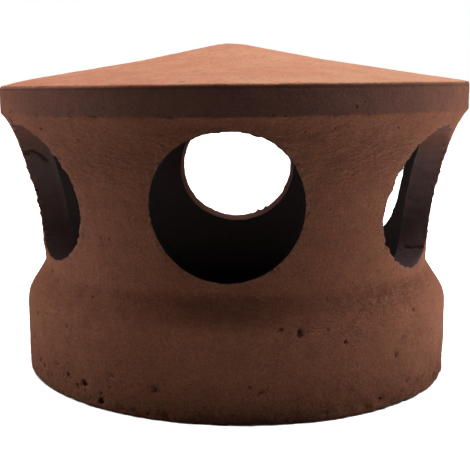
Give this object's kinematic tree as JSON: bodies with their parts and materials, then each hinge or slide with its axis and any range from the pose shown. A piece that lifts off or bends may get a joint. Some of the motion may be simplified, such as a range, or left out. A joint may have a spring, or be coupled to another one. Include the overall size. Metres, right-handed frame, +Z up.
{
  "type": "terracotta roof vent lantern",
  "caption": "Hollow round terracotta vent cap: open socket foot, flared neck pierced by round holes, upright rim band and a low conical cap.",
  "frame": {"origin": "on the level foot plane, under the middle of the rim", "axes": "+Z up; -Y is the side the picture was taken from, where one hole faces the viewer; +X to the viewer's right"},
  "size_m": [0.2201, 0.22, 0.153],
  "materials": {
    "terracotta": "matte"
  },
  "bodies": {
    "root": {"vent_lantern": "terracotta"}
  },
  "joints": []
}
